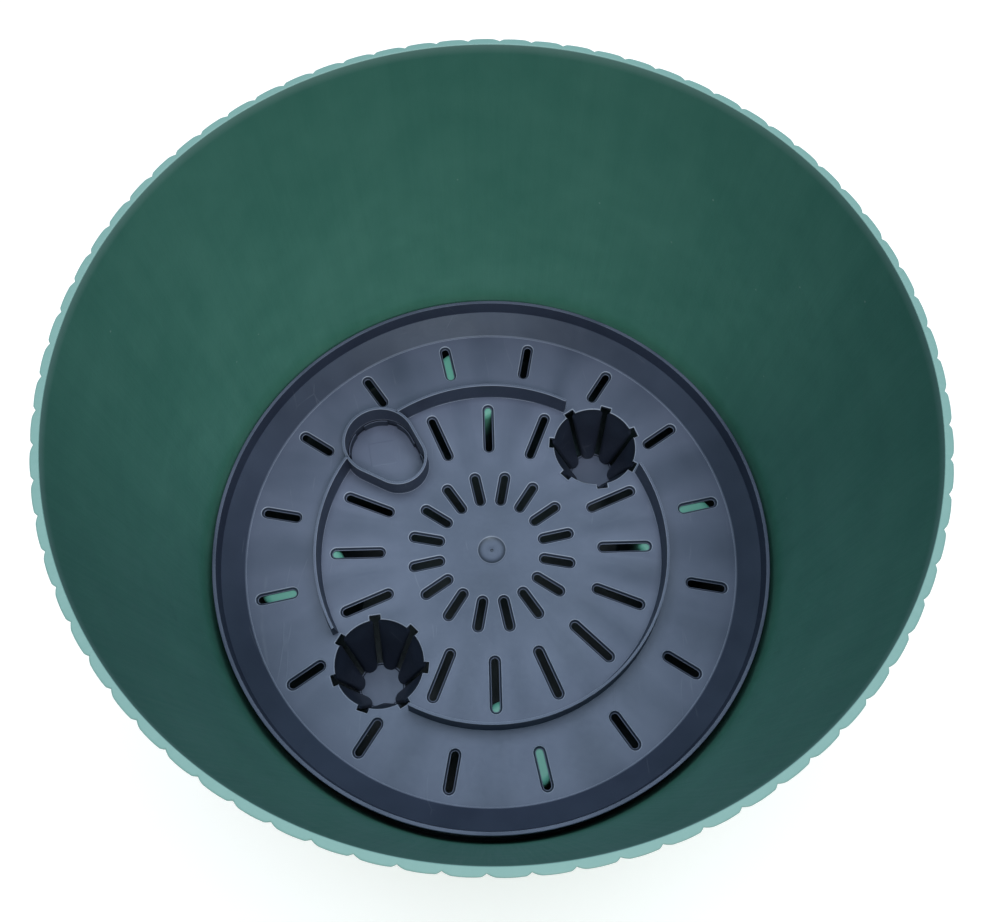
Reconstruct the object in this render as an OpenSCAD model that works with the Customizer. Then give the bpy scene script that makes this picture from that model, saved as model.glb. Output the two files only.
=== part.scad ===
// Self-watering plant pot: a fluted outer pot and a lift-out reservoir insert.
// Millimetres, +Z up. The origin is the centre of the pot's foot, on the ground.
// The insert's axis is the pot's axis, and angles run anticlockwise from +X.

/* [Pot] */
// Diameter across the flutes at the rim
rim_d = 400; // [380:1:420]
// Diameter across the flutes at the foot
foot_d = 365; // [364:1:375]
// Height from the foot to the rim
pot_h = 315; // [280:1:360]
// Thickness of the wall, flutes included
wall_t = 4.1; // [4:0.1:6]
// Number of flutes around the wall
flute_n = 76; // [40:1:90]
// Depth of the grooves between the flutes
groove_depth = 1.5; // [0.6:0.1:2]
// Width of a groove at the surface
groove_w = 5; // [2:0.1:6]
// Height of the floor's underside above the ground
floor_z = 5; // [3:0.5:8]
// Thickness of the floor and of the pillars
floor_t = 3.5; // [2:0.5:5]

/* [Support pillars] */
// Number of pillars moulded up from the floor
pillar_n = 4; // [3:1:4]
// Distance of a pillar's centre from the pot's axis
pillar_ring_r = 126.5; // [124:0.5:132]
// Angle of the first pillar
pillar_angle = 5.6; // [0:0.1:8]
// Radius of a pillar's flat top
pillar_top_r = 26.5; // [15:0.5:29]
// Radius of a pillar where it meets the floor
pillar_foot_r = 32; // [30:0.5:33]

/* [Insert] */
// Height of the plate's upper face above the ground
plate_z = 73; // [60:1:90]
// Radius of the flat plate
plate_r = 162.5; // [162:0.5:163]
// Thickness of the plate and of the rim
plate_t = 2.5; // [2:0.1:3]
// Outer radius of the bead around the rim
bead_r = 179; // [177:0.5:179]
// Height of the bead above the plate
bead_h = 22.5; // [20:0.5:26]
// Radius of the round dimple at the centre, where the plastic was fed in
dimple_r = 9; // [6:0.5:12]
// Radius of the dimple's flat floor
dimple_floor_r = 3.8; // [2:0.1:5.8]
// Depth of the dimple
dimple_h = 1.5; // [0.6:0.1:1.6]

/* [Drainage slots] */
// Width of every slot
slot_w = 6; // [4:0.1:6.5]
// Inner and outer radius of the slots in the inner ring
inner_slots = [31.5, 56.5]; // [20:0.5:60]
// Inner and outer radius of the slots in the middle ring
middle_slots = [70.3, 107.3]; // [62:0.5:110]
// Inner and outer radius of the slots in the outer ring
outer_slots = [129.5, 157.5]; // [120:0.5:160]

/* [Ring wall] */
// Height of the ring wall and of the fill collar above the plate
ring_h = 16; // [8:0.5:20]
// Radius of the ring wall's centre line
ring_r = 115; // [114:0.5:116]
// Thickness of the ring wall at its foot and at its top edge
ring_foot_t = 3.4; // [2:0.1:4]
ring_top_t = 1.6; // [1:0.1:2]
// Angle left open on each side of a wick cup's centre
cup_gap = 17; // [16.5:0.5:20]

/* [Wick cups] */
// Distance of a cup's centre from the axis
cup_ring_r = 104; // [103:0.5:105]
// Inner radius of a cup at the plate and at its floor
cup_top_r = 28.3; // [26:0.1:28.5]
cup_floor_r = 13.5; // [10:0.1:15]
// How much further from the axis a cup's floor lies than its mouth
cup_lean = 5.3; // [0:0.1:8]
// Depth of a cup's floor below the plate
cup_depth = 60; // [40:1:61]
// Thickness of a cup's wall and of its floor
cup_t = 2.2; // [1.5:0.1:2.4]
// Number of slots down a cup's wall
cup_slots = 7; // [5:1:9]
// Width of those slots, and of the notches at their heads
cup_slot_w = 4; // [2:0.1:4]
cup_notch_w = 7.2; // [4.5:0.1:7.5]
// How far a notch reaches past the cup's inner edge
cup_notch_reach = 3.2; // [2.6:0.1:3.5]
// How far down from the plate's face the notches go
cup_notch_h = 5; // [3:0.5:10]

/* [Fill collar] */
// Distance of the larger and the smaller end's centre from the axis
collar_big_at = 105.5; // [104:0.5:106]
collar_small_at = 87; // [86:0.5:89]
// Outer radius of the larger and the smaller end
collar_big_r = 25; // [22:0.1:25]
collar_small_r = 19.4; // [16:0.1:19.5]
// Thickness of the collar's wall
collar_t = 1.9; // [1.5:0.1:2.2]
// Depth of the collar's throat below the plate
throat_depth = 10.5; // [10:0.5:16]

/* [Fill port blank] */
// Gap between the blank and the collar
blank_gap = 0.3; // [0.2:0.05:0.5]
// Thickness of the blank's floor and of its skirt
blank_t = 1.2; // [1.2:0.1:2]
// Depth of the skirt's top edge below the plate
skirt_top = 1; // [1:0.5:4]
// Directions of the openings in the skirt, from straight outwards
skirt_gap_at = [0, 48, 113, 180, 247, 312]; // [0:1:360]
// Width of those openings
skirt_gap_w = 7.5; // [6:0.5:10]

/* [Hidden] */
$fn = 96;
teal = [0.45, 0.66, 0.62];
slate = [0.25, 0.27, 0.33];
dark_slate = [0.20, 0.22, 0.27];

eps = 0.5;              // overrun of a cutter past the face it opens
rest_gap = 0.3;         // clearance under the insert and under the blank
ledge_w = 1.8;          // inward ledge at the foot of the collar's throat
slot_step = 360 / 16;   // angle between two slots of one ring
rear_cup = 45;
fill_port = 135;
front_cup = 225;

rim_r = rim_d / 2;
foot_r = foot_d / 2;
wall_lean = atan((rim_r - foot_r) / pot_h);
wall_run = pot_h / cos(wall_lean);
floor_top = floor_z + floor_t;
plate_under = plate_z - plate_t;
pillar_top = plate_under - rest_gap;
cup_outer_r = cup_top_r + cup_t;
ring_top = plate_z + ring_h;

// Outer and inner radius of the pot's wall at a height
function wall_outer(z) = foot_r + (rim_r - foot_r) * z / pot_h;
function wall_inner(z) = wall_outer(z) - wall_t;

// Half the angle that a circle of radius r around distance d covers on the ring wall
function covered_angle(d, r) =
    acos((ring_r * ring_r + d * d - r * r) / (2 * ring_r * d));

// ---------------------------------------------------------------- pot

// V-shaped cutter that follows one groove from the foot to the rim
module groove_cutter() {
    reach = 1;
    half_w = groove_w / 2 * (1 + reach / groove_depth);
    rotate([0, wall_lean, 0])
        translate([0, 0, -10])
            linear_extrude(wall_run + 20)
                polygon([[-groove_depth, 0], [reach, -half_w], [reach, half_w]]);
}

module pot_wall() {
    color(teal)
        difference() {
            rotate_extrude()
                polygon([
                    [wall_inner(0), 0],
                    [wall_outer(0), 0],
                    [wall_outer(pot_h), pot_h],
                    [wall_inner(pot_h), pot_h]
                ]);
            for (i = [0 : flute_n - 1])
                rotate([0, 0, (i + 0.5) * 360 / flute_n])
                    translate([foot_r, 0, 0])
                        groove_cutter();
        }
}

// Places its child at one pillar's centre
module at_pillar(i) {
    rotate([0, 0, pillar_angle + i * 360 / pillar_n])
        translate([pillar_ring_r, 0, 0])
            children();
}

module pot_floor() {
    color(teal)
        difference() {
            rotate_extrude()
                polygon([
                    [0, floor_z],
                    [wall_inner(floor_z), floor_z],
                    [wall_inner(floor_top), floor_top],
                    [0, floor_top]
                ]);
            for (i = [0 : pillar_n - 1])
                at_pillar(i)
                    translate([0, 0, floor_z - eps])
                        cylinder(h = floor_t + 2 * eps, r = pillar_foot_r);
        }
}

// One pillar: a drafted hollow post, closed at the top and open underneath
module support_pillar(i) {
    shoulder = 3;
    color(teal)
        at_pillar(i)
            rotate_extrude()
                polygon([
                    [pillar_foot_r - floor_t, floor_z],
                    [pillar_foot_r, floor_z],
                    [pillar_foot_r, floor_top],
                    [pillar_top_r + shoulder, pillar_top - shoulder],
                    [pillar_top_r, pillar_top],
                    [0, pillar_top],
                    [0, pillar_top - floor_t],
                    [pillar_top_r + shoulder - floor_t, pillar_top - floor_t],
                    [pillar_foot_r - floor_t, floor_top]
                ]);
}

// ---------------------------------------------------------------- insert

// Radial slot with round ends between two radii
module slot_cutter(ends) {
    from = ends[0] + slot_w / 2;
    to = ends[1] - slot_w / 2;
    deep = plate_t + 2 * eps;
    translate([0, 0, plate_under - eps]) {
        translate([from, -slot_w / 2, 0])
            cube([to - from, slot_w, deep]);
        for (x = [from, to])
            translate([x, 0, 0])
                cylinder(h = deep, r = slot_w / 2);
    }
}

// True where the middle ring has a slot and not a cup or the fill port
function is_slot(angle) =
    angle != rear_cup && angle != fill_port && angle != front_cup;

module drainage_slots() {
    for (i = [0 : 15]) {
        rotate([0, 0, (i + 0.5) * slot_step])
            slot_cutter(inner_slots);
        if (is_slot(i * slot_step))
            rotate([0, 0, i * slot_step])
                slot_cutter(middle_slots);
        rotate([0, 0, (i + 0.5) * slot_step])
            slot_cutter(outer_slots);
    }
}

// Egg-shaped prism of the fill port, its outline moved inwards by inset
module port_prism(inset, z0, z1) {
    big = collar_big_r - inset;
    small = collar_small_r - inset;
    s = (big - small) / (collar_big_at - collar_small_at);
    c = sqrt(1 - s * s);
    rotate([0, 0, fill_port])
        translate([0, 0, z0]) {
            translate([collar_big_at, 0, 0])
                cylinder(h = z1 - z0, r = big);
            translate([collar_small_at, 0, 0])
                cylinder(h = z1 - z0, r = small);
            linear_extrude(z1 - z0)
                polygon([
                    [collar_small_at - small * s, -small * c],
                    [collar_big_at - big * s, -big * c],
                    [collar_big_at - big * s, big * c],
                    [collar_small_at - small * s, small * c]
                ]);
        }
}

// Places its child at a cup's centre, with +X turned back towards the plate's centre
module at_cup(angle) {
    rotate([0, 0, angle])
        translate([cup_ring_r, 0, 0])
            rotate([0, 0, 180])
                children();
}

// Leans its child outwards below the plate, in the frame of at_cup
module leaning() {
    lean = cup_lean / (cup_depth - plate_t);
    multmatrix([[1, 0, lean, -lean * plate_under], [0, 1, 0, 0], [0, 0, 1, 0]])
        children();
}

// Radial bars that open a cup's wall or its rim
module cup_bars(width, reach, z0, z1) {
    for (i = [0 : cup_slots - 1])
        rotate([0, 0, i * 360 / cup_slots])
            translate([cup_floor_r - 3, -width / 2, z0])
                cube([reach - cup_floor_r + 3, width, z1 - z0]);
}

// Shallow dish where the plastic was fed in, with its small pit
module gate_dimple() {
    pit_r = 0.8;
    pit_h = 0.4;
    flare = (dimple_r - dimple_floor_r) / dimple_h;
    translate([0, 0, plate_z - dimple_h])
        cylinder(h = dimple_h + eps, r1 = dimple_floor_r, r2 = dimple_r + flare * eps);
    translate([0, 0, plate_z - dimple_h - pit_h])
        cylinder(h = pit_h + eps, r = pit_r);
}

module insert_plate() {
    color(slate) {
        difference() {
            translate([0, 0, plate_under])
                cylinder(h = plate_t, r = plate_r);
            gate_dimple();
            drainage_slots();
            port_prism(0, plate_under - eps, plate_z + eps);
            for (angle = [rear_cup, front_cup])
                at_cup(angle) {
                    translate([0, 0, plate_under - eps])
                        cylinder(h = plate_t + 2 * eps, r = cup_outer_r);
                    cup_bars(cup_notch_w, cup_top_r + cup_notch_reach,
                        plate_under - eps, plate_z + eps);
                }
        }
    }
}

// Sloping band, upright lip and round-edged bead around the plate
module insert_rim() {
    band_r = bead_r - 3.1;
    band_h = bead_h - 10.7;
    lip_r = bead_r - 2.4;
    skin_r = band_r + 2.2;
    color(slate)
        rotate_extrude()
            translate([0, plate_z])
                polygon([
                    [plate_r, 0],
                    [plate_r, -plate_t],
                    [plate_r + 1.3, -plate_t],
                    [skin_r, band_h - 1.4],
                    [skin_r, bead_h - 3.6],
                    [bead_r, bead_h - 3.6],
                    [bead_r, bead_h - 0.6],
                    [bead_r - 0.6, bead_h],
                    [lip_r + 0.4, bead_h],
                    [lip_r, bead_h - 0.4],
                    [band_r, band_h]
                ]);
}

// One stretch of the drafted wall that stands on the plate
module ring_wall(from, to) {
    color(slate)
        difference() {
            rotate([0, 0, from])
                rotate_extrude(angle = to - from)
                    polygon([
                        [ring_r - ring_foot_t / 2, plate_z],
                        [ring_r + ring_foot_t / 2, plate_z],
                        [ring_r + ring_top_t / 2, ring_top],
                        [ring_r - ring_top_t / 2, ring_top]
                    ]);
            port_prism(0, plate_z - eps, ring_top + eps);
        }
}

module ring_wall_rear() {
    ring_wall(rear_cup + cup_gap, fill_port - 8);
}

module ring_wall_left() {
    ring_wall(fill_port + 8, front_cup - cup_gap);
}

module ring_wall_front() {
    ring_wall(front_cup + cup_gap, 360 + rear_cup - cup_gap);
}

// Collar that guides the fill tube, with a ledge at its foot for the blank
module fill_collar() {
    throat = plate_z - throat_depth;
    color(slate)
        difference() {
            port_prism(0, throat, ring_top);
            port_prism(collar_t, throat + collar_t, ring_top + eps);
            port_prism(collar_t + ledge_w, throat - eps, throat + collar_t + eps);
        }
}

// Tapered cup that carries soil down to the water, slotted from its rim to near its floor
module wick_cup(angle) {
    bottom = plate_z - cup_depth - cup_t;
    foot_band = cup_t + 1;
    neck_r = cup_top_r - (cup_top_r - cup_floor_r) * plate_t / cup_depth;
    color(dark_slate)
        at_cup(angle) {
            difference() {
                rotate_extrude()
                    polygon([
                        [neck_r, plate_under],
                        [cup_outer_r, plate_under],
                        [cup_outer_r, plate_z],
                        [cup_top_r, plate_z]
                    ]);
                cup_bars(cup_notch_w, cup_outer_r + eps, plate_under - eps, plate_z + eps);
            }
            leaning()
                difference() {
                    rotate_extrude()
                        polygon([
                            [0, bottom],
                            [cup_floor_r + cup_t, bottom],
                            [cup_outer_r, plate_under],
                            [neck_r, plate_under],
                            [cup_floor_r, bottom + cup_t],
                            [0, bottom + cup_t]
                        ]);
                    cup_bars(cup_slot_w, cup_outer_r + eps, bottom + foot_band,
                        plate_under + eps);
                    cup_bars(cup_notch_w, cup_outer_r + eps, plate_z - cup_notch_h,
                        plate_under + eps);
                }
        }
}

module wick_cup_rear() {
    wick_cup(rear_cup);
}

module wick_cup_front() {
    wick_cup(front_cup);
}

// Snap-in blank: an egg-shaped dish whose skirt is split into spring fingers
module fill_port_blank() {
    base = plate_z - throat_depth + collar_t + rest_gap;
    skirt_z = base + blank_t;
    outline = collar_t + blank_gap;
    middle = (collar_big_at + collar_small_at) / 2;
    color(dark_slate)
        difference() {
            port_prism(outline, base, plate_z - skirt_top);
            port_prism(outline + blank_t, skirt_z, plate_z + eps);
            rotate([0, 0, fill_port])
                translate([middle, 0, 0])
                    for (direction = skirt_gap_at)
                        rotate([0, 0, direction])
                            translate([12, -skirt_gap_w / 2, skirt_z])
                                cube([30, skirt_gap_w, throat_depth]);
        }
}

pot_wall();
pot_floor();
support_pillar(0);  // support_pillar_right
support_pillar(1);  // support_pillar_rear
support_pillar(2);  // support_pillar_left
support_pillar(3);  // support_pillar_front
insert_plate();
insert_rim();
ring_wall_rear();
ring_wall_left();
ring_wall_front();
fill_collar();
wick_cup_rear();
wick_cup_front();
fill_port_blank();
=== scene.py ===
import bisect
import math

import bmesh
import bpy
from mathutils import Matrix, Vector
from mathutils.geometry import delaunay_2d_cdt


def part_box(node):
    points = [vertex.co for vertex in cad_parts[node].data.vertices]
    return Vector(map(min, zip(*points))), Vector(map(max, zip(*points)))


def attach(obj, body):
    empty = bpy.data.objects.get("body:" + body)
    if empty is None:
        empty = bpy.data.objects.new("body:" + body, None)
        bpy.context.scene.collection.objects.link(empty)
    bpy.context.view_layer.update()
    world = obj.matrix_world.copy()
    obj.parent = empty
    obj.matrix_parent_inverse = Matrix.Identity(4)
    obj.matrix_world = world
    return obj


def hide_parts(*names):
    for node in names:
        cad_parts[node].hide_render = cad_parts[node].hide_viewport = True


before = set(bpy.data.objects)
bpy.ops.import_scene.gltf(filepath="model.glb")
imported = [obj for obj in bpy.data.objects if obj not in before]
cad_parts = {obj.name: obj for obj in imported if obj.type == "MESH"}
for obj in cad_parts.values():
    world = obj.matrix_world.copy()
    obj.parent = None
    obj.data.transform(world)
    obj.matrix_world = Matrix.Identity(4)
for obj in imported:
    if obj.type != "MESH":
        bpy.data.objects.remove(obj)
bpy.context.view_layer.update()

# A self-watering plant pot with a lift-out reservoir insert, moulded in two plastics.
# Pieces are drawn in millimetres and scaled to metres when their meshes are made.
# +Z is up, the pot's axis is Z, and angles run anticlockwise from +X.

MM = 0.001


def cad_box(node):
    """Lowest and highest corner of a CAD node, in millimetres."""
    low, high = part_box(node)
    return low / MM, high / MM


def cad_centre(node):
    """Centre of a CAD node's box, in millimetres."""
    low, high = cad_box(node)
    return (low + high) / 2


# ---------------------------------------------------------------- sizes from the frame

POT_H = cad_box("pot_wall")[1].z
RIM_R = cad_box("pot_wall")[1].x
FLOOR_LOW, FLOOR_TOP = cad_box("pot_floor")[0].z, cad_box("pot_floor")[1].z
PLATE_Z = cad_box("ring_wall_front")[0].z
PLATE_LOW = cad_box("insert_plate")[0].z
PLATE_R = cad_box("insert_plate")[1].x
RING_TOP = cad_box("ring_wall_front")[1].z
BEAD_TOP = cad_box("insert_rim")[1].z
BEAD_R = cad_box("insert_rim")[1].x
CUP_LOW = cad_box("wick_cup_front")[0].z
THROAT_LOW = cad_box("fill_collar")[0].z
BLANK_LOW, BLANK_TOP = cad_box("fill_port_blank")[0].z, cad_box("fill_port_blank")[1].z

# ---------------------------------------------------------------- other sizes

FOOT_R = 182.5
WALL_T = 4.1
FLUTES = 76
GROOVE_DEPTH = 1.05
GROOVE_GENTLE = 3.9      # width of the groove's slow side
GROOVE_STEEP = 2.1       # width of its quick side
FLUTE_CROWN = 0.45       # fall of a flute's face from its middle to its edges

PILLAR_R = 29.5          # just under the pillar's shoulder
PILLAR_FOOT_R = 32.0
SHELL_T = 3.5            # thickness of the pillars
FLOOR_FILLET = 2.5       # radius where the floor and the wall or a pillar meet

SLOT_HALF = 4.0          # half the width of a drainage slot at the plate's face
SLOT_RINGS = {           # inner and outer radius, and the first slot's share of a step
    "inner": (31.5, 56.5, 0.5),
    "middle": (70.3, 107.3, 0.0),
    "outer": (129.5, 157.5, 0.5),
}
SLOT_COUNT = 16

RING_R = 115.0
RING_FOOT_T = 3.4
RING_TOP_T = 1.6
REAR_CUP, FILL_PORT, FRONT_CUP = 45, 135, 225
CUP_GAP = 17             # degrees left open on each side of a cup
COLLAR_HALF = 11.5       # degrees from the port's centre to the middle of the collar's wall

CUP_AT = 104.0            # from the axis to the middle of a cup's mouth
CUP_LEAN = 5.3            # how much further out its floor lies
CUP_R = 28.3
CUP_FLOOR_R = 13.5
CUP_T = 2.2
CUP_SLOTS = 7
CUP_SLOT_HALF = 1.9
NOTCH_HALF = 3.6
NOTCH_R = 31.5
NOTCH_H = 5.0            # how far a notch goes down from the plate's face
FOOT_BAND = 1.0          # height of the unslotted foot of a cup above its floor

BIG_AT, BIG_R = 105.5, 25.0
SMALL_AT, SMALL_R = 87.0, 19.4
COLLAR_T = 1.9
LEDGE_W = 1.8
BLANK_INSET = 2.2
BLANK_T = 1.2
FINGER_GAP = 7.5
FINGER_GAPS_AT = (0, 48, 113, 180, 247, 312)   # degrees from straight outwards

DIMPLE_R = 9.0           # dished mark at the plate's centre
DIMPLE_FLOOR_R = 3.8
DIMPLE_H = 1.5
PIT_H = 0.4              # how far the pit goes below the dished mark

SINK = 0.4               # how far a wall's foot reaches into the plate under it
MESH_STEP = 3.2          # spacing of the plate's points


# ---------------------------------------------------------------- drawing in the plane

def on_circle(radius, angle, centre=(0.0, 0.0)):
    """Point at an angle in radians on a circle around a centre."""
    return (centre[0] + radius * math.cos(angle), centre[1] + radius * math.sin(angle))


def rounded(corners, closed=True, steps=4):
    """Outline through (u, v, radius) corners, each rounded to its radius."""
    outline = []
    last = len(corners) - 1
    for i, (u, v, radius) in enumerate(corners):
        here = Vector((u, v))
        if radius == 0 or (not closed and i in (0, last)):
            outline.append((u, v))
            continue
        back = Vector(corners[i - 1][:2]) - here
        ahead = Vector(corners[(i + 1) % len(corners)][:2]) - here
        cut = radius / math.tan(back.angle(ahead) / 2)
        cut = min(cut, 0.48 * back.length, 0.48 * ahead.length)
        start = here + back.normalized() * cut
        end = here + ahead.normalized() * cut
        for k in range(steps + 1):
            t = k / steps
            point = (1 - t) ** 2 * start + 2 * t * (1 - t) * here + t ** 2 * end
            outline.append((point.x, point.y))
    return outline


def split(a, b, count):
    """Points between a and b, without either end."""
    return [tuple(p + (q - p) * k / count for p, q in zip(a, b)) for k in range(1, count)]


def smooth(t):
    """0 to 1 with a gentle start and end."""
    t = min(max(t, 0.0), 1.0)
    return t * t * (3 - 2 * t)


class Shell:
    """Points and faces of one moulded piece, gathered ring by ring."""

    def __init__(self):
        self.points = []
        self.faces = []

    def ring(self, points):
        """Adds points and returns their numbers."""
        first = len(self.points)
        self.points.extend(tuple(p) for p in points)
        return list(range(first, len(self.points)))

    def bridge(self, a, b):
        """Quads between two closed rings with as many points."""
        for i in range(len(a)):
            j = (i + 1) % len(a)
            self.faces.append((a[i], a[j], b[j], b[i]))

    def fan(self, ring, tip):
        """Triangles from a closed ring to one point."""
        top = self.ring([tip])[0]
        for i, number in enumerate(ring):
            self.faces.append((number, ring[(i + 1) % len(ring)], top))

    def loft(self, rings, wrap=False):
        """Bridges closed rings of points in turn, and returns their numbers."""
        numbers = [self.ring(points) for points in rings]
        for a, b in zip(numbers, numbers[1:]):
            self.bridge(a, b)
        if wrap:
            self.bridge(numbers[-1], numbers[0])
        return numbers

    def bar(self, sections):
        """Solid through closed sections, with its two ends capped."""
        numbers = self.loft(sections)
        self.faces.append(tuple(numbers[0]))
        self.faces.append(tuple(numbers[-1]))

    def sheet(self, outer, holes, loose=()):
        """Triangles inside the outer ring and outside the holes, through loose points."""
        rings = [outer] + holes
        used = [n for ring in rings for n in ring] + self.ring(loose)
        loops, start = [], 0
        for ring in rings:
            loops.append(list(range(start, start + len(ring))))
            start += len(ring)
        flat = [Vector(self.points[n][:2]) for n in used]
        found = delaunay_2d_cdt(flat, [], loops, 1, 1e-6)
        triangles, origin, owners = found[2], found[3], found[5]
        for triangle, owner in zip(triangles, owners):
            if owner == [0]:
                self.faces.append(tuple(used[origin[v][0]] for v in triangle))

    def turned(self, outline, count=96, centre=(0.0, 0.0), closed=True):
        """Revolves an outline of (r, z). An open one starts and ends on the axis."""
        def around(r, z):
            return [on_circle(r, math.tau * k / count, centre) + (z,) for k in range(count)]
        if closed:
            self.loft([around(r, z) for r, z in outline], wrap=True)
            return
        numbers = self.loft([around(r, z) for r, z in outline[1:-1]])
        self.fan(numbers[0], (*centre, outline[0][1]))
        self.fan(numbers[-1], (*centre, outline[-1][1]))

    def piece(self, node, body, material):
        """Makes the mesh that stands for a CAD node and rides with its body."""
        mesh = bpy.data.meshes.new("moulded_" + node)
        mesh.from_pydata([Vector(p) * MM for p in self.points], [], self.faces)
        work = bmesh.new()
        work.from_mesh(mesh)
        bmesh.ops.recalc_face_normals(work, faces=work.faces)
        work.to_mesh(mesh)
        work.free()
        mesh.polygons.foreach_set("use_smooth", [True] * len(mesh.polygons))
        mesh.set_sharp_from_angle(angle=math.radians(40))
        mesh.materials.append(material)
        made = bpy.data.objects.new(mesh.name, mesh)
        bpy.context.scene.collection.objects.link(made)
        made.modifiers.new("even_shading", "WEIGHTED_NORMAL").keep_sharp = True
        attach(made, body)
        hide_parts(node)


# ---------------------------------------------------------------- materials

class Finish:
    """Builds one procedural plastic, node by node."""

    def __init__(self, name):
        self.material = bpy.data.materials.new(name)
        self.material.use_nodes = True
        self.tree = self.material.node_tree
        self.shader = self.tree.nodes["Principled BSDF"]
        self.place = self.add("TexCoord").outputs["Object"]

    def add(self, kind, inputs=None, **settings):
        """New node with its settings, and its inputs set or linked."""
        made = self.tree.nodes.new("ShaderNode" + kind)
        for name, value in settings.items():
            setattr(made, name, value)
        for key, value in (inputs or {}).items():
            self.feed(made, key, value)
        return made

    def feed(self, made, key, value):
        """Sets one input of a node, or links it to a socket."""
        if isinstance(value, bpy.types.NodeSocket):
            self.tree.links.new(value, made.inputs[key])
        else:
            made.inputs[key].default_value = value

    def math(self, operation, a, b=0.0, clamp=False):
        made = self.add("Math", {0: a, 1: b}, operation=operation, use_clamp=clamp)
        return made.outputs[0]

    def noise(self, vector, scale, detail=3.0, rough=0.55, distortion=0.0):
        inputs = {"Vector": vector, "Scale": scale, "Detail": detail, "Roughness": rough,
                  "Distortion": distortion}
        return self.add("TexNoise", inputs).outputs["Fac"]

    def remap(self, value, low, high, to_low=0.0, to_high=1.0):
        """Value from low..high to to_low..to_high, held at both ends."""
        inputs = {"Value": value, "From Min": low, "From Max": high,
                  "To Min": to_low, "To Max": to_high}
        return self.add("MapRange", inputs, clamp=True).outputs["Result"]

    def blend(self, share, a, b):
        """Colour between a and b."""
        made = self.add("Mix", {0: share}, data_type="RGBA")
        self.feed(made, 6, a)
        self.feed(made, 7, b)
        return made.outputs[2]

    def around(self, across, along):
        """Vector for patterns drawn along Z: fine around the axis, long along it."""
        flat = self.add("VectorMath", {0: self.place, 1: (1, 1, 0)}, operation="MULTIPLY")
        unit = self.add("VectorMath", {0: flat.outputs[0]}, operation="NORMALIZE")
        wide = self.add("VectorMath", {0: unit.outputs[0], 1: (across, across, 0)},
                        operation="MULTIPLY")
        tall = self.add("VectorMath", {0: self.place, 1: (0, 0, along)},
                        operation="MULTIPLY")
        both = self.add("VectorMath", {0: wide.outputs[0], 1: tall.outputs[0]},
                        operation="ADD")
        return both.outputs[0]

    def reach(self):
        """Distance from the axis."""
        flat = self.add("VectorMath", {0: self.place, 1: (1, 1, 0)}, operation="MULTIPLY")
        return self.add("VectorMath", {0: flat.outputs[0]}, operation="LENGTH").outputs["Value"]

    def level(self, low, high):
        """0 on steep faces and 1 on level ones, between two heights of the normal."""
        normal = self.add("NewGeometry").outputs["Normal"]
        up = self.add("SeparateXYZ", {"Vector": normal}).outputs["Z"]
        return self.remap(up, low, high)

    def height(self):
        """Height above the ground."""
        return self.add("SeparateXYZ", {"Vector": self.place}).outputs["Z"]

    def inside_pot(self):
        """1 inside the pot's wall and above its floor's underside, 0 outside."""
        taper = (RIM_R - FOOT_R) / POT_H
        wall = self.math("ADD", self.math("MULTIPLY", self.height(), taper),
                         (FOOT_R - WALL_T) * MM)
        across = self.remap(self.math("SUBTRACT", self.reach(), wall), 0.0015, 0.0005)
        over = self.remap(self.height(), 0.4 * FLOOR_TOP * MM, 0.8 * FLOOR_TOP * MM)
        return self.math("MULTIPLY", across, over)

    def near_height(self, z, half):
        """1 at a height in millimetres, 0 further than half from it."""
        away = self.math("ABSOLUTE", self.math("SUBTRACT", self.height(), z * MM))
        return self.remap(away, half * MM, 0.6 * half * MM)

    def slot_waves(self):
        """-1 to 1 around the axis: high beside the slots of the middle and outer rings."""
        place = self.add("SeparateXYZ", {"Vector": self.place})
        angle = self.math("ARCTAN2", place.outputs["Y"], place.outputs["X"])
        bent = self.math("MULTIPLY", self.noise(self.place, 20.0, detail=1.0), 1.6)
        wave = self.math("COSINE", self.math("ADD", self.math("MULTIPLY", angle, SLOT_COUNT),
                                             self.math("SUBTRACT", bent, 0.8)))
        side = self.remap(self.reach(), 0.112, 0.122, 1.0, -1.0)
        start = self.remap(self.reach(), 0.060, 0.080)
        return self.math("MULTIPLY", self.math("MULTIPLY", wave, side), start)

    def outward(self, across, along):
        """Vector for patterns drawn out from the axis: fine around it, long along the radius."""
        far = self.math("MULTIPLY", self.reach(), along)
        tall = self.add("CombineXYZ", {"Z": far})
        both = self.add("VectorMath", {0: self.around(across, 0.0), 1: tall.outputs[0]},
                        operation="ADD")
        return both.outputs[0]

    def specks(self, scale, size, kept):
        """1 inside small round specks, in about the kept share of the cells."""
        cells = self.add("TexVoronoi", {"Vector": self.place, "Scale": scale})
        near = self.remap(cells.outputs["Distance"], size, 0.4 * size)
        tint = self.add("SeparateColor", {"Color": cells.outputs["Color"]})
        lucky = self.math("GREATER_THAN", tint.outputs[0], 1 - kept)
        return self.math("MULTIPLY", near, lucky)

    def scratches(self, scale, thin, kept):
        """1 along a few fine, slightly bent lines."""
        bend = self.noise(self.place, 9.0, detail=1.0)
        shift = self.add("CombineXYZ", {"X": self.math("MULTIPLY", bend, 0.05)})
        swirl = self.add("VectorMath", {0: self.place, 1: shift.outputs[0]}, operation="ADD")
        turned = self.add("Mapping", {"Vector": swirl.outputs[0], "Rotation": (0.2, 0.1, 0.7),
                                      "Scale": (1.0, 0.06, 1.0)})
        edge = self.add("TexVoronoi", {"Vector": turned.outputs[0], "Scale": scale},
                        feature="DISTANCE_TO_EDGE")
        line = self.remap(edge.outputs["Distance"], thin, 0.0)
        gate = self.remap(self.noise(self.place, 31.0, detail=2.0), 1 - kept, 1.06 - kept)
        return self.math("MULTIPLY", line, gate)

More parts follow.
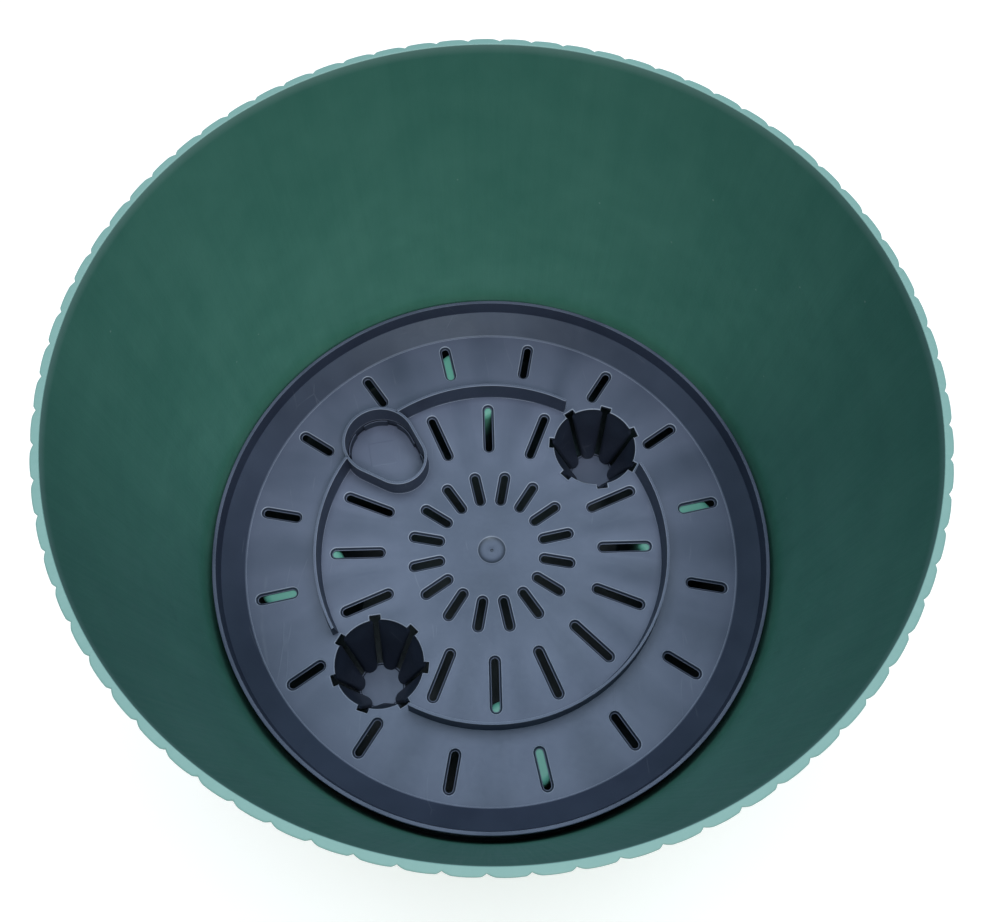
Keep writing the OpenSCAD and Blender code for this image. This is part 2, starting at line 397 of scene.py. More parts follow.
    def bump(self, height, distance, below=None):
        """Bump of that height in metres, laid over another one."""
        inputs = {"Height": height, "Distance": distance, "Strength": 1.0}
        if below is not None:
            inputs["Normal"] = below
        return self.add("Bump", inputs).outputs["Normal"]


def pot_plastic():
    """Soft teal polypropylene: mottled, with drag lines from the mould and pale specks."""
    finish = Finish("teal_polypropylene")
    blotch = finish.noise(finish.place, 14.0, detail=5.0, rough=0.6)
    cloud = finish.noise(finish.place, 55.0, detail=3.0)
    drag = finish.noise(finish.around(16.0, 3.0), 1.0, detail=4.0, rough=0.7)
    fine_drag = finish.noise(finish.around(95.0, 8.0), 1.0, detail=2.0)
    specks = finish.specks(70.0, 0.05, 0.16)
    tone = finish.math("ADD", finish.math("MULTIPLY", blotch, 0.5),
                       finish.math("MULTIPLY", drag, 0.3))
    tone = finish.math("ADD", tone, finish.math("MULTIPLY", cloud, 0.2))
    share = finish.remap(tone, 0.38, 0.62)
    colour = finish.blend(share, (0.080, 0.285, 0.218, 1), (0.108, 0.335, 0.262, 1))

    # painted shade in the reservoir, painted shade up the wall, painted light on the rim, and
    # specks
    low = finish.remap(finish.height(), (PLATE_LOW - 7) * MM, (PLATE_LOW - 30) * MM, 0.0, 0.97)
    painted_reservoir_shade = finish.math("MULTIPLY", low, finish.inside_pot())
    colour = finish.blend(painted_reservoir_shade, colour, (0.010, 0.023, 0.033, 1))
    # painted shade: the wall darker towards the rim
    high = finish.remap(finish.height(), BEAD_TOP * MM, POT_H * MM)
    colour = finish.blend(finish.math("MULTIPLY", high, 0.42), colour, (0.022, 0.110, 0.092, 1))
    # painted light: the rim's top paler
    painted_rim_light = finish.remap(finish.height(), (POT_H - 6) * MM, (POT_H - 1) * MM)
    colour = finish.blend(finish.math("MULTIPLY", painted_rim_light, 0.6), colour, (0.240, 0.400, 0.385, 1))
    colour = finish.blend(finish.math("MULTIPLY", specks, 0.5), colour,
                          (0.42, 0.60, 0.54, 1))

    rough = finish.remap(finish.math("ADD", fine_drag, cloud), 0.7, 1.3, 0.40, 0.52)
    normal = finish.bump(blotch, 0.0006)
    normal = finish.bump(drag, 0.00035, normal)
    normal = finish.bump(fine_drag, 0.00003, normal)
    normal = finish.bump(finish.noise(finish.place, 1400.0, detail=2.0), 0.00002, normal)
    finish.feed(finish.shader, "Base Color", colour)
    finish.feed(finish.shader, "Roughness", rough)
    finish.feed(finish.shader, "Normal", normal)
    finish.shader.inputs["IOR"].default_value = 1.49
    return finish.material


def insert_plastic():
    """Slate recycled plastic: satin, with flow marks, light scratches and dust; painted sheen,
    shade and edge highlights.
    """
    finish = Finish("slate_polypropylene")
    fan = finish.noise(finish.outward(4.5, 14.0), 1.0, detail=2.0, distortion=0.5)
    spread = finish.remap(finish.reach(), 0.045, 0.085)
    drift = finish.noise(finish.place, 17.0, detail=2.0)
    flow = finish.math("ADD", drift, finish.math("MULTIPLY", fan, spread))
    cloud = finish.noise(finish.place, 24.0, detail=4.0)
    dust = finish.noise(finish.place, 420.0, detail=3.0, rough=0.7)
    marks = finish.scratches(38.0, 0.012, 0.42)
    specks = finish.specks(110.0, 0.045, 0.08)
    tone = finish.remap(finish.math("ADD", drift, cloud), 0.75, 1.25)
    colour = finish.blend(tone, (0.027, 0.034, 0.062, 1), (0.038, 0.048, 0.084, 1))

    # painted sheen: paler level faces, strongest beside the slots
    level = finish.level(0.80, 0.98)
    halo = finish.math("ADD", flow, finish.math("MULTIPLY", finish.slot_waves(), 0.30))
    halo = finish.math("ADD", halo, finish.math("MULTIPLY", cloud, 0.4))
    painted_sheen = finish.remap(halo, 0.45, 1.30, 0.0, 0.72)
    colour = finish.blend(finish.math("MULTIPLY", painted_sheen, level), colour,
                          (0.098, 0.110, 0.168, 1))

    # painted shade on the walls below the plate's face
    slope = finish.math("SUBTRACT", 1.0, level)
    deep = finish.remap(finish.height(), (PLATE_Z - 0.4) * MM, (PLATE_Z - 1.2) * MM)
    shade = finish.math("MULTIPLY", finish.math("MULTIPLY", deep, slope), 0.62)
    colour = finish.blend(shade, colour, (0.008, 0.011, 0.021, 1))

    # painted shade on the sides of the dished mark and in its pit
    dish = finish.remap(finish.reach(), (DIMPLE_R + 1.0) * MM, (DIMPLE_R - 0.5) * MM)
    sides = finish.math("SUBTRACT", 1.0, finish.level(0.90, 0.997))
    pit = finish.remap(finish.reach(), 1.3 * MM, 0.9 * MM)
    painted_dish_shade = finish.math("MAXIMUM", finish.math("MULTIPLY", dish, sides), pit)
    colour = finish.blend(finish.math("MULTIPLY", painted_dish_shade, 0.92), colour,
                          (0.005, 0.008, 0.016, 1))

    # painted highlights around the openings and along the tops of the standing walls
    standing = finish.math("MULTIPLY", finish.near_height(RING_TOP - 0.1, 0.35),
                           finish.remap(finish.reach(), 0.150, 0.145))
    edges = finish.math("ADD", finish.near_height(PLATE_Z - 0.15, 0.38), standing, clamp=True)
    tilted = finish.math("SUBTRACT", 1.0, finish.level(0.88, 0.985))
    painted_edge_highlight = finish.math("MULTIPLY", finish.math("MULTIPLY", edges, tilted), 0.8)
    painted_edge_highlight = finish.math("MULTIPLY", painted_edge_highlight, finish.math("SUBTRACT", 1.0, dish))
    colour = finish.blend(painted_edge_highlight, colour, (0.34, 0.38, 0.48, 1))

    worn = finish.math("MULTIPLY", marks, 0.25)
    worn = finish.math("ADD", worn, finish.math("MULTIPLY", specks, 0.35), clamp=True)
    colour = finish.blend(worn, colour, (0.16, 0.18, 0.23, 1))

    rough = finish.remap(finish.math("ADD", cloud, dust), 0.7, 1.3, 0.44, 0.54)
    normal = finish.bump(flow, 0.0006)
    normal = finish.bump(dust, 0.00003, normal)
    normal = finish.bump(marks, 0.00003, normal)
    finish.feed(finish.shader, "Base Color", colour)
    finish.feed(finish.shader, "Roughness", rough)
    finish.feed(finish.shader, "Normal", normal)
    finish.shader.inputs["IOR"].default_value = 1.70
    finish.shader.inputs["Specular Tint"].default_value = (0.70, 0.84, 1.0, 1)
    return finish.material


# ---------------------------------------------------------------- the pot

def wall_outer(z):
    """Radius of the flutes' crests at a height."""
    return FOOT_R + (RIM_R - FOOT_R) * z / POT_H


def flute_columns():
    """(angle, depth below the crest) of every column of points around the wall."""
    pitch = math.tau * RIM_R / FLUTES
    gentle = [GROOVE_GENTLE * k / 6 for k in range(7)]
    steep = [-GROOVE_STEEP * k / 4 for k in range(4, 0, -1)]
    middle = split((gentle[-1],), (pitch + steep[0],), 4)
    places = gentle + [m[0] for m in middle] + [pitch + s for s in steep]
    columns = []
    for i in range(FLUTES):
        for along in places:
            depth = FLUTE_CROWN * (2 * along / pitch - 1) ** 2
            if along < GROOVE_GENTLE:
                depth += GROOVE_DEPTH * (1 - along / GROOVE_GENTLE) ** 1.7
            if along > pitch - GROOVE_STEEP:
                depth += GROOVE_DEPTH * (1 - (pitch - along) / GROOVE_STEEP) ** 1.4
            columns.append((math.tau * ((i + 0.5) + along / pitch) / FLUTES, depth))
    return columns


def fluted_wall(material):
    """Tapered wall with rounded flutes outside, their notches showing in the rim."""
    heights = [POT_H * k / 8 for k in range(1, 8)]
    low, high = wall_outer(0), wall_outer(POT_H)
    corners = [(low - WALL_T, 0, 0.6), (low, 0, 0.8)]
    corners += [(wall_outer(z), z, 0) for z in heights]
    corners += [(high, POT_H, 0.8), (high - WALL_T, POT_H, 0.6)]
    corners += [(wall_outer(z) - WALL_T, z, 0) for z in reversed(heights)]
    columns = flute_columns()
    shell = Shell()
    rings = []
    for r, z in rounded(corners):
        fluted = r > wall_outer(z) - WALL_T / 2
        rings.append([on_circle(r - (depth if fluted else 0), angle) + (z,)
                      for angle, depth in columns])
    shell.loft(rings, wrap=True)
    shell.piece("pot_wall", "pot", material)


def pot_floor(material):
    """Floor with a fillet up the wall and a round opening under each pillar."""
    count = 128
    edge = wall_outer(FLOOR_TOP) - WALL_T
    side = [
        (edge - FLOOR_FILLET, FLOOR_TOP),
        (edge - 1.2, FLOOR_TOP + 0.3),
        (edge - 0.3, FLOOR_TOP + 1.1),
        (edge + 0.1, FLOOR_TOP + FLOOR_FILLET),
        (edge + 0.5, FLOOR_TOP + FLOOR_FILLET),
        (edge + 0.3, FLOOR_LOW),
    ]
    shell = Shell()
    rings = shell.loft([[on_circle(r, math.tau * k / count) + (z,) for k in range(count)]
                        for r, z in side])
    tops, bottoms = [], []
    for node in PILLARS:
        centre = cad_centre(node)
        hole = [on_circle(PILLAR_FOOT_R - 0.3, math.tau * k / 48, centre) for k in range(48)]
        top, bottom = shell.loft([[(x, y, z) for x, y in hole] for z in (FLOOR_TOP, FLOOR_LOW)])
        tops.append(top)
        bottoms.append(bottom)
    shell.sheet(rings[0], tops)
    shell.sheet(rings[-1], bottoms)
    shell.piece("pot_floor", "pot", material)


PILLARS = ["support_pillar_right", "support_pillar_rear",
           "support_pillar_left", "support_pillar_front"]


def pillar(node, material):
    """Hollow drafted post with a soft shoulder, flared where it grows out of the floor."""
    centre = cad_centre(node)
    top = cad_box(node)[1].z
    outline = rounded([
        (0, top, 0),
        (PILLAR_R - 0.3, top, 5.0),
        (PILLAR_FOOT_R - 0.1, FLOOR_TOP + FLOOR_FILLET, 2.0),
        (PILLAR_FOOT_R + 2.2, FLOOR_TOP + 0.02, 0),
        (PILLAR_FOOT_R + 2.2, FLOOR_TOP - 0.6, 0),
        (PILLAR_FOOT_R, FLOOR_TOP - 0.6, 0),
        (PILLAR_FOOT_R, FLOOR_LOW, 0),
        (PILLAR_FOOT_R - SHELL_T, FLOOR_LOW, 0.8),
        (PILLAR_R - SHELL_T, top - SHELL_T, 1.5),
        (0, top - SHELL_T, 0),
    ], closed=False, steps=5)
    shell = Shell()
    shell.turned(outline, centre=centre[:2], closed=False)
    shell.piece(node, "pot", material)


# ---------------------------------------------------------------- the insert's plate

def has_slot(ring, angle):
    return ring != "middle" or angle not in (REAR_CUP, FILL_PORT, FRONT_CUP)


def drainage_slots():
    """(angle, inner end, outer end) of every slot, ends at the centres of its round ends."""
    step = 360 / SLOT_COUNT
    slots = []
    for ring, (start, end, share) in SLOT_RINGS.items():
        for i in range(SLOT_COUNT):
            angle = (i + share) * step
            if has_slot(ring, angle):
                slots.append((math.radians(angle), start + SLOT_HALF, end - SLOT_HALF))
    return slots


def slot_outline(slot, inset):
    """Long round-ended outline of one slot, moved inwards by inset."""
    angle, start, end = slot
    half = SLOT_HALF - inset
    outline = []
    for centre, side, far in ((end, -1, start), (start, 1, end)):
        arc = [on_circle(half, math.radians(k * 22.5 + 90 * side), (centre, 0))
               for k in range(9)]
        outline += arc + split(arc[-1], (far, arc[-1][1]), round((end - start) / MESH_STEP))
    cos, sin = math.cos(angle), math.sin(angle)
    return [(x * cos - y * sin, x * sin + y * cos) for x, y in outline]


def cup_outline(centre, turn, inset):
    """Round hole with a square notch at the head of each slot of a cup."""
    outline = []
    radius, half, reach = CUP_R + inset, NOTCH_HALF + inset, NOTCH_R + inset
    corner = math.asin(half / radius)
    step = math.tau / CUP_SLOTS
    for i in range(CUP_SLOTS):
        middle = turn + i * step
        notch = rounded([(radius * math.cos(corner), -half, 0.35), (reach, -half, 0.5),
                         (reach, half, 0.5), (radius * math.cos(corner), half, 0.35)],
                        steps=3)
        cos, sin = math.cos(middle), math.sin(middle)
        outline += [(x * cos - y * sin, x * sin + y * cos) for x, y in notch]
        arc_start, arc_end = corner + 0.02, step - corner - 0.02
        outline += [on_circle(radius, middle + arc_start + (arc_end - arc_start) * k / 14)
                    for k in range(15)]
    return [(x + centre[0], y + centre[1]) for x, y in outline]


def port_stations(count):
    """Points and outward normals around the egg-shaped fill port, evenly spaced."""
    lean = math.asin((BIG_R - SMALL_R) / (BIG_AT - SMALL_AT))
    turn = math.pi / 2 + lean
    flat = (BIG_AT - SMALL_AT) * math.cos(lean)
    parts = [(BIG_R * turn, (BIG_AT, BIG_R, 0.0, turn)), (flat, None),
             (SMALL_R * 2 * (math.pi - turn), (SMALL_AT, SMALL_R, turn, math.tau - turn)),
             (flat, None), (BIG_R * turn, (BIG_AT, BIG_R, math.tau - turn, math.tau))]
    ends, total = [], 0.0
    for length, _ in parts:
        total += length
        ends.append(total)
    cos, sin = math.cos(math.radians(FILL_PORT)), math.sin(math.radians(FILL_PORT))
    stations = []
    for k in range(count):
        s = total * k / count
        part = bisect.bisect_right(ends, s)
        length, arc = parts[part]
        share = (s - ends[part] + length) / length
        if arc:
            at, radius, start, end = arc
            angle = start + (end - start) * share
            x, y = on_circle(radius, angle, (at, 0))
        else:
            angle = turn if part == 1 else -turn
            from_at, to_at = (BIG_AT, SMALL_AT) if part == 1 else (SMALL_AT, BIG_AT)
            from_r, to_r = (BIG_R, SMALL_R) if part == 1 else (SMALL_R, BIG_R)
            at, radius = from_at + (to_at - from_at) * share, from_r + (to_r - from_r) * share
            x, y = on_circle(radius, angle, (at, 0))
        nx, ny = math.cos(angle), math.sin(angle)
        stations.append(((x * cos - y * sin, x * sin + y * cos),
                         (nx * cos - ny * sin, nx * sin + ny * cos)))
    return stations


def port_ring(stations, inset, z):
    """Ring around the fill port at an inset from its outline."""
    return [(x - nx * inset, y - ny * inset, z) for (x, y), (nx, ny) in stations]


def cup_centre(angle, z):
    """Middle of a cup at a height: it leans outwards below the plate."""
    share = max(PLATE_LOW - z, 0.0) / (PLATE_LOW - CUP_LOW - CUP_T)
    return on_circle(CUP_AT + CUP_LEAN * share, math.radians(angle))


def cup_turn(angle):
    """Direction from a cup back to the plate's centre."""
    return math.radians(angle + 180)


def plate_wave(x, y):
    """Height of the shallow waves that the cooling plastic left around the slots."""
    r, angle = math.hypot(x, y), math.atan2(y, x)
    band = smooth((r - 58) / 14) * smooth((124 - r) / 12)
    outer = smooth((r - 118) / 12) * smooth((162 - r) / 10)
    sway = math.cos(SLOT_COUNT * angle) + 0.35 * math.sin(33 * angle + 0.04 * r)
    swell = math.sin(3 * angle + 0.02 * r) + 0.6 * math.sin(5 * angle + 1.3)
    ripple = math.cos(SLOT_COUNT * angle + 0.9)
    return 0.18 * band * sway + 0.07 * outer * ripple + 0.04 * swell


def clear_of_openings(x, y, slots, cups):
    """True where a loose point leaves room around every opening of the plate."""
    room = 1.8
    for angle, start, end in slots:
        along = x * math.cos(angle) + y * math.sin(angle)
        across = -x * math.sin(angle) + y * math.cos(angle)
        if math.hypot(along - min(max(along, start), end), across) < SLOT_HALF + room:
            return False
    for centre in cups:
        if math.hypot(x - centre[0], y - centre[1]) < NOTCH_R + room:
            return False
    along = (y - x) * math.sqrt(0.5)
    across = (y + x) * math.sqrt(0.5)
    near = min(max(along, SMALL_AT), BIG_AT)
    return math.hypot(along - near, across) > BIG_R + room


def insert_plate(material):
    """Plate with funnel slots, notched cup holes, the port's hole and a dished mark."""
    shell = Shell()
    slots = drainage_slots()
    cups = [cup_centre(angle, PLATE_Z) for angle in (REAR_CUP, FRONT_CUP)]
    count = 256
    edge = [[on_circle(r, math.tau * k / count) + (z,) for k in range(count)]
            for r, z in ((PLATE_R - 0.6, PLATE_Z), (PLATE_R, PLATE_Z - 0.15),
                         (PLATE_R, PLATE_LOW + 0.2), (PLATE_R - 0.2, PLATE_LOW))]
    edges = shell.loft(edge)
    tops, bottoms = [], []

    depth = PLATE_Z - PLATE_LOW
    funnel = [(-0.60, 0.0), (-0.38, 0.05), (-0.14, 0.17), (0.06, 0.36), (0.17, 0.60),
              (1.02, depth - 0.66), (1.12, depth - 0.58), (1.30, depth - 0.55),
              (1.50, depth - 0.50), (1.58, depth - 0.36), (1.60, depth)]
    for slot in slots:
        rings = shell.loft([[(x, y, PLATE_Z - drop) for x, y in slot_outline(slot, inset)]
                            for inset, drop in funnel])
        tops.append(rings[0])
        bottoms.append(rings[-1])

    lip = [(0.9, 0.0), (0.62, 0.06), (0.34, 0.19), (0.10, 0.40), (0.0, 0.65), (0.0, depth)]
    for angle, centre in zip((REAR_CUP, FRONT_CUP), cups):
        rings = shell.loft([[(x, y, PLATE_Z - drop)
                             for x, y in cup_outline(centre, cup_turn(angle), inset)]
                            for inset, drop in lip])
        tops.append(rings[0])
        bottoms.append(rings[-1])

    stations = port_stations(120)
    rings = shell.loft([port_ring(stations, 0.8, z) for z in (PLATE_Z, PLATE_LOW)])
    tops.append(rings[0])
    bottoms.append(rings[-1])

    brim, dip = DIMPLE_R + 0.8, 0.04
    dish = [(DIMPLE_R + 1.4, 0.0)]
    for k in range(16):
        share = k / 15
        dish.append((brim + (DIMPLE_FLOOR_R - brim) * share,
                     -dip - (DIMPLE_H - dip) * (1 - (1 - share) ** 2.5)))
    dish += [(2.9, -DIMPLE_H), (2.2, -DIMPLE_H + 0.06), (1.6, -DIMPLE_H + 0.20),
             (1.1, -DIMPLE_H + 0.18), (0.95, -DIMPLE_H - 0.1), (0.8, -DIMPLE_H - PIT_H)]
    rings = shell.loft([[on_circle(r, math.tau * k / 48) + (PLATE_Z + z,) for k in range(48)]
                        for r, z in dish])
    shell.fan(rings[-1], (0, 0, PLATE_Z - DIMPLE_H - PIT_H))
    tops.append(rings[0])

    loose = []
    for k in range(4, int(PLATE_R / MESH_STEP)):
        r = k * MESH_STEP
        number = round(math.tau * r / MESH_STEP)
        for j in range(number):
            x, y = on_circle(r, math.tau * (j + 0.5 * (k % 2)) / number)
            if r < PLATE_R - 2 and clear_of_openings(x, y, slots, cups):
                loose.append((x, y, PLATE_Z + plate_wave(x, y)))
    shell.sheet(edges[0], tops, loose)
    shell.sheet(edges[-1], bottoms)
    shell.piece("insert_plate", "insert", material)


def insert_rim(material):
    """Sloping band with a fine ridge at its foot, an upright lip and a rounded bead."""
    z = PLATE_Z
    band_r, band_z = BEAD_R - 3.1, BEAD_TOP - 10.7
    lip_r, skin_r = BEAD_R - 2.4, BEAD_R - 0.9
    under = BEAD_TOP - 3.6
    outline = rounded([
        (PLATE_R - 0.7, z - 0.4, 0),
        (PLATE_R - 0.45, z + 0.14, 0.2),
        (PLATE_R + 0.2, z + 0.20, 0.25),
        (PLATE_R + 0.7, z + 0.50, 0.4),
        (band_r, band_z, 0.7),
        (lip_r, BEAD_TOP, 0.3),
        (BEAD_R - 0.05, BEAD_TOP, 0.5),
        (BEAD_R, under, 0.4),
        (skin_r, under, 0.4),
        (skin_r, band_z - 1.4, 0.9),
        (PLATE_R + 1.3, PLATE_LOW, 0.5),
        (PLATE_R - 0.7, PLATE_LOW + 0.1, 0),
    ], steps=4)
    shell = Shell()
    shell.turned(outline, count=288)
    shell.piece("insert_rim", "insert", material)


def ring_wall(node, start, end, open_start, open_end, material):
    """Stretch of the drafted wall that stands on the plate, from start to end in degrees."""
    foot, top = RING_FOOT_T / 2, RING_TOP_T / 2
    section = rounded([
        (-foot - 0.5, PLATE_Z - SINK, 0),
        (-foot - 0.5, PLATE_Z + 0.02, 0),
        (-foot + 0.05, PLATE_Z + 0.55, 0.5),
        (-top, RING_TOP, 0.3),
        (top, RING_TOP, 0.3),
        (foot - 0.05, PLATE_Z + 0.55, 0.5),
        (foot + 0.5, PLATE_Z + 0.02, 0),
        (foot + 0.5, PLATE_Z - SINK, 0),
    ], steps=3)

    def cut(angle, shrink):
        """Section at an angle in degrees, drawn in by shrink at a rounded end."""
        points = []
        for across, z in section:
            across *= 1 - shrink / (foot + 0.5)
            z = min(z, RING_TOP - shrink)
            points.append(on_circle(RING_R + across, math.radians(angle)) + (z,))
        return points

    round_off = 0.35
    bevel = math.degrees(round_off / RING_R)
    count = round((end - start) / 1.5)
    sections = [cut(start + (end - start) * k / count, 0.0) for k in range(1, count)]
    first = [cut(start, round_off), cut(start + 0.3 * bevel, 0.1), cut(start + bevel, 0.0)]
    last = [cut(end - bevel, 0.0), cut(end - 0.3 * bevel, 0.1), cut(end, round_off)]
    sections = (first if open_start else [cut(start, 0)]) + sections
    sections += last if open_end else [cut(end, 0)]
    shell = Shell()
    shell.bar(sections)
    shell.piece(node, "insert", material)


def fill_collar(material):
    """Egg-shaped collar through the plate, with a ledge at the foot of its throat."""
    stations = port_stations(144)
    ledge = THROAT_LOW + COLLAR_T
    outline = rounded([
        (0.1, THROAT_LOW, 0.4),
        (0.0, PLATE_Z - 0.3, 0),
        (-0.7, PLATE_Z + 0.02, 0),
        (0.0, PLATE_Z + 0.7, 0.6),
        (0.1, RING_TOP, 0.35),
        (COLLAR_T - 0.1, RING_TOP, 0.35),
        (COLLAR_T, PLATE_Z, 0),
        (COLLAR_T, ledge, 0.3),
        (COLLAR_T + LEDGE_W, ledge, 0.3),
        (COLLAR_T + LEDGE_W, THROAT_LOW, 0.3),
    ], steps=3)
    shell = Shell()
    shell.loft([port_ring(stations, inset, z) for inset, z in outline], wrap=True)
    shell.piece("fill_collar", "insert", material)


# ---------------------------------------------------------------- wick cups

def petal(shell, angle, direction, top, floor):
    """One tongue of a cup's wall: flush with the hole above, bowed inwards lower down."""
    downs = [k / 40 for k in range(6)] + [0.125 + 0.875 * k / 14 for k in range(1, 15)]
    columns = (-1, -0.95, -0.8, -0.55, -0.28, 0, 0.28, 0.55, 0.8, 0.95, 1)
    half_step = math.pi / CUP_SLOTS

    def place(across, down, outside):
        """Point on the petal: across from -1 to 1, down from 0 to 1."""
        tip = 3.4 / (top - floor) * (1 - math.sqrt(1 - min(abs(across), 1.0) ** 2))
        s = down * (1 - tip)
        z = top + (floor - top) * s
        narrowed = smooth((PLATE_Z - NOTCH_H + 0.8 - z) / 1.4)
        slot_half = NOTCH_HALF + (CUP_SLOT_HALF - NOTCH_HALF) * narrowed
        radius = CUP_R + (CUP_FLOOR_R - CUP_R) * s
        bowed = smooth(s / 0.3)
        outer = radius + (CUP_T if outside else 0)
        corner = half_step - math.asin(slot_half / outer)
        side = across * outer * math.sin(corner)
        round_out = math.sqrt(outer ** 2 - side ** 2)
        flat_out = radius * math.cos(half_step - math.asin(slot_half / radius))
        flat_out -= (0.3 + 0.9 * s) * (1 - across ** 2)
        if outside:
            flat_out += CUP_T
        out = round_out + (flat_out - round_out) * bowed
        soft = 0.45 * smooth((abs(across) - 0.88) / 0.12)
        out += -soft if outside else soft
        centre = cup_centre(angle, z)
        cos, sin = math.cos(direction), math.sin(direction)
        return (centre[0] + out * cos - side * sin, centre[1] + out * sin + side * cos, z)

    sections = []
    for down in downs:
        section = [place(c, down, False) for c in columns]
        section += [place(c, down, True) for c in reversed(columns)]
        sections.append(section)
    shell.bar(sections)


def wick_cup(node, angle, material):
    """Cup of seven tongues that stand on a small round dish, leaning outwards."""
    floor = CUP_LOW + CUP_T
    shell = Shell()
    for i in range(CUP_SLOTS):
        direction = cup_turn(angle) + (i + 0.5) * math.tau / CUP_SLOTS
        petal(shell, angle, direction, PLATE_Z - 2.2, floor - 0.4)
    outer = CUP_FLOOR_R + CUP_T
    shell.turned(rounded([
        (0, floor, 0),
        (outer - 1.1, floor, 0.6),
        (outer - 0.7, floor + FOOT_BAND, 0.3),
        (outer + 0.3, floor + FOOT_BAND, 0.3),
        (outer, CUP_LOW, 0.8),
        (0, CUP_LOW, 0),
    ], closed=False), count=72, centre=cup_centre(angle, floor), closed=False)
    shell.piece(node, "insert", material)


# ---------------------------------------------------------------- fill port blank

def fill_port_blank(material):
    """Egg-shaped dish that closes the fill port, gripped by its spring fingers."""
    stations = port_stations(240)
    floor = BLANK_LOW + BLANK_T
    shell = Shell()
    side = rounded([
        (BLANK_INSET + BLANK_T, floor, 0),
        (BLANK_INSET + 0.2, floor, 0.4),
        (BLANK_INSET, BLANK_LOW, 0.6),
        (BLANK_INSET + BLANK_T, BLANK_LOW, 0),
    ], closed=False)
    rings = shell.loft([port_ring(stations, inset, z) for inset, z in side])

    middle = math.radians(FILL_PORT)
    centre = on_circle((BIG_AT + SMALL_AT) / 2, middle)
    pad_at = on_circle(BIG_AT, middle)
    pad = []
    for half, z in ((9.0, floor), (8.7, floor + 0.12), (8.2, floor + 0.16)):
        square = rounded([(-half, -half, 1.2), (half, -half, 1.2),
                          (half, half, 1.2), (-half, half, 1.2)], steps=4)
        cos, sin = math.cos(middle - 0.62), math.sin(middle - 0.62)
        pad.append([(pad_at[0] + x * cos - y * sin, pad_at[1] + x * sin + y * cos, z)
                    for x, y in square])
    pads = shell.loft(pad)
    shell.sheet(pads[-1], [])
    shell.sheet(rings[0], [pads[0]])
    shell.sheet(rings[-1], [])

    section = rounded([
        (BLANK_INSET, BLANK_LOW + 0.9, 0),
        (BLANK_INSET + 0.1, BLANK_TOP, 0.3),
        (BLANK_INSET + BLANK_T - 0.3, BLANK_TOP, 0.3),
        (BLANK_INSET + BLANK_T + 0.2, floor, 0),
        (BLANK_INSET + BLANK_T + 0.2, BLANK_LOW + 0.9, 0),
    ], steps=3)

    def finger_sections(gap_a, gap_b):
        """Sections of the finger between the gaps at two directions."""
        sections = []
        for (x, y), (nx, ny) in stations:
            dx, dy = x - centre[0], y - centre[1]
            clear = True
            for gap in (gap_a, gap_b):
                along = dx * math.cos(gap) + dy * math.sin(gap)
                across = -dx * math.sin(gap) + dy * math.cos(gap)
                if along > 0 and abs(across) < FINGER_GAP / 2:
                    clear = False
            turn = (math.atan2(dy, dx) - gap_a) % math.tau
            if clear and 0 < turn < (gap_b - gap_a) % math.tau:
                sections.append((turn, [(x - nx * inset, y - ny * inset, z)
                                        for inset, z in section]))
        sections.sort(key=lambda item: item[0])
        return [points for _, points in sections]

    gaps = [middle + math.radians(angle) for angle in FINGER_GAPS_AT]
    for gap_a, gap_b in zip(gaps, gaps[1:] + gaps[:1]):
        shell.bar(finger_sections(gap_a, gap_b))
    shell.piece("fill_port_blank", "blank", material)


# ---------------------------------------------------------------- studio

def studio_floor():
    """Wide pale floor that glows faintly, so that it stays white beside the shadow."""
    material = bpy.data.materials.new("studio_floor")
    material.use_nodes = True
    shader = material.node_tree.nodes["Principled BSDF"]
    shader.inputs["Base Color"].default_value = (0.96, 0.94, 0.92, 1)
    shader.inputs["Roughness"].default_value = 0.9
    shader.inputs["Specular IOR Level"].default_value = 0.1
    shader.inputs["Emission Color"].default_value = (1.0, 1.0, 1.0, 1)
    shader.inputs["Emission Strength"].default_value = 0.2
    mesh = bpy.data.meshes.new("studio_floor")
    work = bmesh.new()
    bmesh.ops.create_grid(work, x_segments=8, y_segments=8, size=6.0)
    work.to_mesh(mesh)
    work.free()
    mesh.materials.append(material)
    floor = bpy.data.objects.new("studio_floor", mesh)
    bpy.context.scene.collection.objects.link(floor)


def area_light(name, place, aim, size, power, colour):
    """Soft rectangular light that faces a point."""
    light = bpy.data.lights.new(name, "AREA")
    light.shape = "RECTANGLE"
    light.size, light.size_y = size
    light.energy = power
    light.color = colour
    lamp = bpy.data.objects.new(name, light)
    lamp.location = place
    direction = Vector(aim) - Vector(place)
    lamp.rotation_euler = direction.to_track_quat("-Z", "Y").to_euler()
    bpy.context.scene.collection.objects.link(lamp)


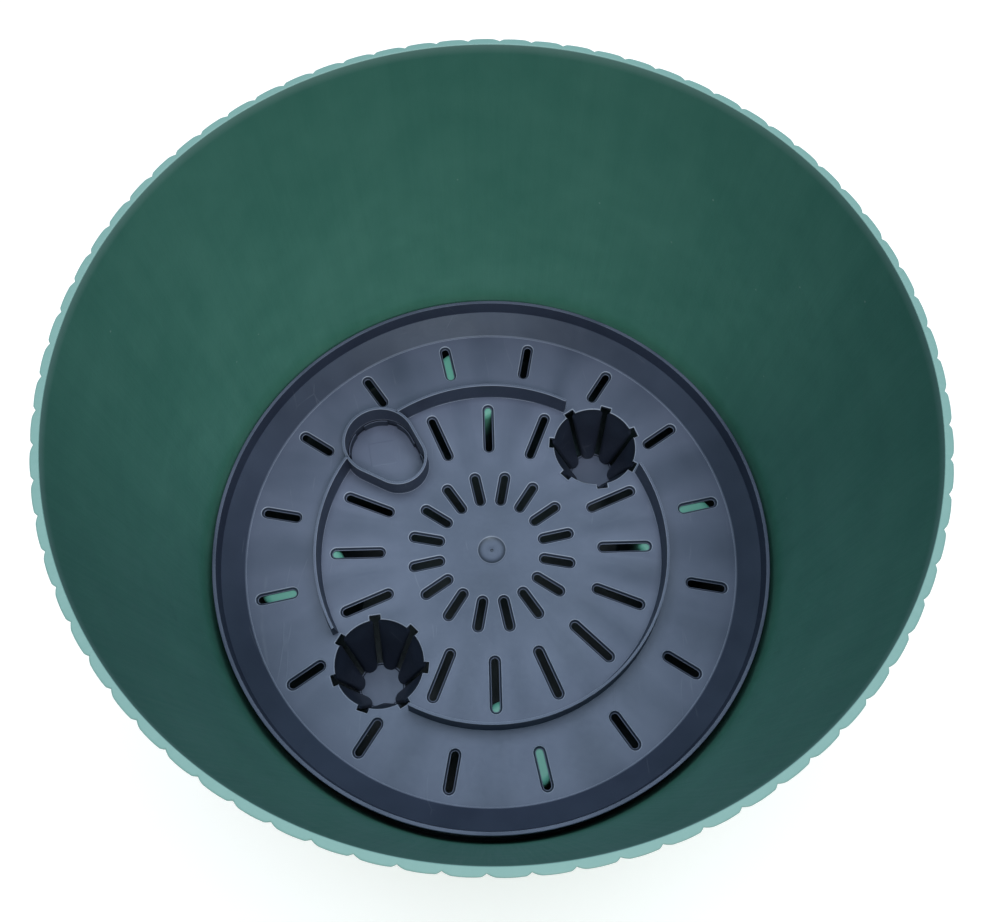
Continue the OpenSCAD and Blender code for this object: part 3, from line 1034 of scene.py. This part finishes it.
def studio_lights():
    """Large cool panel overhead, a neutral key from the front, and an even sky."""
    area_light("overhead", (0.0, 0.55, 2.6), (0.0, 0.55, 0), (3.4, 2.1), 74,
               (0.82, 0.91, 1.0))
    area_light("key", (0.45, -1.75, 2.95), (0, 0, 0.15), (0.9, 0.9), 54, (0.98, 0.97, 0.94))
    world = bpy.data.worlds.new("studio")
    world.use_nodes = True
    background = world.node_tree.nodes["Background"]
    background.inputs["Color"].default_value = (0.93, 0.96, 1.0, 1)
    background.inputs["Strength"].default_value = 0.05
    bpy.context.scene.world = world
    bpy.context.scene.view_settings.view_transform = "Standard"


def place_camera():
    """Camera held over the pot's near rim, looking steeply down into it."""
    camera = bpy.data.objects.new("camera", bpy.data.cameras.new("camera"))
    camera.data.sensor_width = 36.0
    camera.data.lens = 35.378
    yaw, down, roll = math.radians(3.392), math.radians(67.335), math.radians(1.847)
    turn = Matrix.Rotation(-yaw, 4, "Z") @ Matrix.Rotation(math.pi / 2 - down, 4, "X")
    turn = turn @ Matrix.Rotation(roll, 4, "Z")
    above_rim = 384.829
    place = Vector((-8.166, -197.406, POT_H + above_rim)) * MM
    camera.matrix_world = Matrix.Translation(place) @ turn
    bpy.context.scene.collection.objects.link(camera)
    bpy.context.scene.camera = camera


# ---------------------------------------------------------------- build

place_camera()
studio_floor()
studio_lights()

teal = pot_plastic()
slate = insert_plastic()

fluted_wall(teal)
pot_floor(teal)
for name in PILLARS:
    pillar(name, teal)

insert_plate(slate)
insert_rim(slate)
ring_wall("ring_wall_rear", REAR_CUP + CUP_GAP, FILL_PORT - COLLAR_HALF, True, False, slate)
ring_wall("ring_wall_left", FILL_PORT + COLLAR_HALF, FRONT_CUP - CUP_GAP, False, True, slate)
ring_wall("ring_wall_front", FRONT_CUP + CUP_GAP, 360 + REAR_CUP - CUP_GAP, True, True, slate)
fill_collar(slate)
wick_cup("wick_cup_rear", REAR_CUP, slate)
wick_cup("wick_cup_front", FRONT_CUP, slate)
fill_port_blank(slate)
